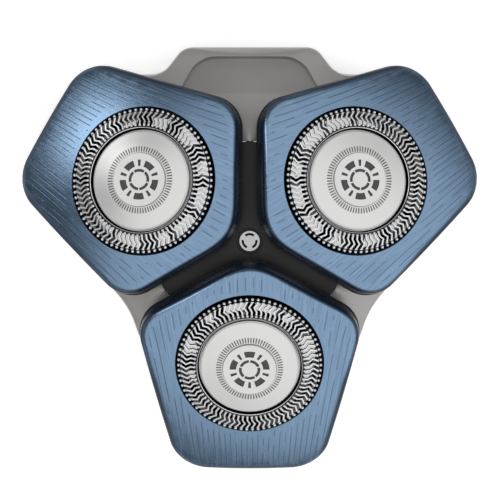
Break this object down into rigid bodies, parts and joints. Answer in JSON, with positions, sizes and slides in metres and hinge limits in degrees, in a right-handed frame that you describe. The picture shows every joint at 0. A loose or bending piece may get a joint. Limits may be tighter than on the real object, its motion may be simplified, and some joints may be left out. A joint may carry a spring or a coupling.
{
  "type": "rotary shaver head",
  "caption": "Shaving head with tilting pentagonal shaving units around a star-shaped cover on a lobed holder; the cutters spin under slotted guards.",
  "frame": {"origin": "on the main axis, in the plane of the back rim", "axes": "+Z the way the shaving side faces, +Y to the hinge tab, +X across the two upper units"},
  "size_m": [0.0648, 0.0602, 0.0199],
  "materials": {
    "blue_plate": "brushed, blue anodised",
    "grey_shell": "satin, metallic grey",
    "black_frame": "matt",
    "guard_steel": "polished",
    "disc_metal": "satin",
    "cutter_steel": "ground",
    "drive_plastic": "natural",
    "lock_plastic": "satin",
    "ring_plastic": "satin",
    "pin_steel": "ground",
    "spring_steel": "rolled",
    "screw_steel": "polished"
  },
  "bodies": {
    "holder": {"holder_shell": "grey_shell", "chassis": "black_frame", "star_cover": "black_frame", "centre_screw": "screw_steel", "roll_pins_1": "pin_steel", "roll_pins_2": "pin_steel", "roll_pins_3": "pin_steel", "roll_spring_1": "spring_steel", "roll_spring_2": "spring_steel", "roll_spring_3": "spring_steel"},
    "tilt_ring_1": {"gimbal_ring_1": "ring_plastic", "pitch_spring_1": "spring_steel"},
    "shaving_unit_1": {"face_plate_1": "blue_plate", "plate_carrier_1": "black_frame", "pitch_pins_1": "pin_steel", "guard_1": "guard_steel", "guard_disc_1": "disc_metal"},
    "rotor_1": {"cutter_1": "cutter_steel", "cutter_hub_1": "drive_plastic"},
    "lock_ring_1": {"retaining_ring_1": "lock_plastic"},
    "tilt_ring_2": {"gimbal_ring_2": "ring_plastic", "pitch_spring_2": "spring_steel"},
    "shaving_unit_2": {"face_plate_2": "blue_plate", "plate_carrier_2": "black_frame", "pitch_pins_2": "pin_steel", "guard_2": "guard_steel", "guard_disc_2": "disc_metal"},
    "rotor_2": {"cutter_2": "cutter_steel", "cutter_hub_2": "drive_plastic"},
    "lock_ring_2": {"retaining_ring_2": "lock_plastic"},
    "tilt_ring_3": {"gimbal_ring_3": "ring_plastic", "pitch_spring_3": "spring_steel"},
    "shaving_unit_3": {"face_plate_3": "blue_plate", "plate_carrier_3": "black_frame", "pitch_pins_3": "pin_steel", "guard_3": "guard_steel", "guard_disc_3": "disc_metal"},
    "rotor_3": {"cutter_3": "cutter_steel", "cutter_hub_3": "drive_plastic"},
    "lock_ring_3": {"retaining_ring_3": "lock_plastic"}
  },
  "joints": [
    {"name": "unit_roll_1", "type": "hinge", "parent": "holder", "child": "tilt_ring_1", "pos_m": [0, -0.0148, 0.00866], "axis": [0, -0.9563, -0.2924], "range_deg": [-4, 4], "stiffness_Nm_per_rad": 0.06, "deforming": ["roll_spring_1"]},
    {"name": "unit_pitch_1", "type": "hinge", "parent": "tilt_ring_1", "child": "shaving_unit_1", "pos_m": [0, -0.0148, 0.00866], "axis": [1, 0, 0], "range_deg": [-4, 5], "stiffness_Nm_per_rad": 0.06, "deforming": ["pitch_spring_1"]},
    {"name": "cutter_spin_1", "type": "hinge", "parent": "shaving_unit_1", "child": "rotor_1", "pos_m": [0, -0.01679, 0.01516], "axis": [0, -0.2924, 0.9563], "continuous": true},
    {"name": "lock_turn_1", "type": "hinge", "parent": "shaving_unit_1", "child": "lock_ring_1", "pos_m": [0, -0.01621, 0.01325], "axis": [0, -0.2924, 0.9563], "range_deg": [-28, 0]},
    {"name": "unit_roll_2", "type": "hinge", "parent": "holder", "child": "tilt_ring_2", "pos_m": [0.01282, 0.0074, 0.00866], "axis": [0.8282, 0.4782, -0.2924], "range_deg": [-4, 4], "stiffness_Nm_per_rad": 0.06, "deforming": ["roll_spring_2"]},
    {"name": "unit_pitch_2", "type": "hinge", "parent": "tilt_ring_2", "child": "shaving_unit_2", "pos_m": [0.01282, 0.0074, 0.00866], "axis": [-0.5, 0.866, 0], "range_deg": [-4, 5], "stiffness_Nm_per_rad": 0.06, "deforming": ["pitch_spring_2"]},
    {"name": "cutter_spin_2", "type": "hinge", "parent": "shaving_unit_2", "child": "rotor_2", "pos_m": [0.01454, 0.0084, 0.01516], "axis": [0.2532, 0.1462, 0.9563], "continuous": true},
    {"name": "lock_turn_2", "type": "hinge", "parent": "shaving_unit_2", "child": "lock_ring_2", "pos_m": [0.01403, 0.0081, 0.01325], "axis": [0.2532, 0.1462, 0.9563], "range_deg": [-28, 0]},
    {"name": "unit_roll_3", "type": "hinge", "parent": "holder", "child": "tilt_ring_3", "pos_m": [-0.01282, 0.0074, 0.00866], "axis": [-0.8282, 0.4782, -0.2924], "range_deg": [-4, 4], "stiffness_Nm_per_rad": 0.06, "deforming": ["roll_spring_3"]},
    {"name": "unit_pitch_3", "type": "hinge", "parent": "tilt_ring_3", "child": "shaving_unit_3", "pos_m": [-0.01282, 0.0074, 0.00866], "axis": [-0.5, -0.866, 0], "range_deg": [-4, 5], "stiffness_Nm_per_rad": 0.06, "deforming": ["pitch_spring_3"]},
    {"name": "cutter_spin_3", "type": "hinge", "parent": "shaving_unit_3", "child": "rotor_3", "pos_m": [-0.01454, 0.0084, 0.01516], "axis": [-0.2532, 0.1462, 0.9563], "continuous": true},
    {"name": "lock_turn_3", "type": "hinge", "parent": "shaving_unit_3", "child": "lock_ring_3", "pos_m": [-0.01403, 0.0081, 0.01325], "axis": [-0.2532, 0.1462, 0.9563], "range_deg": [-28, 0]}
  ]
}
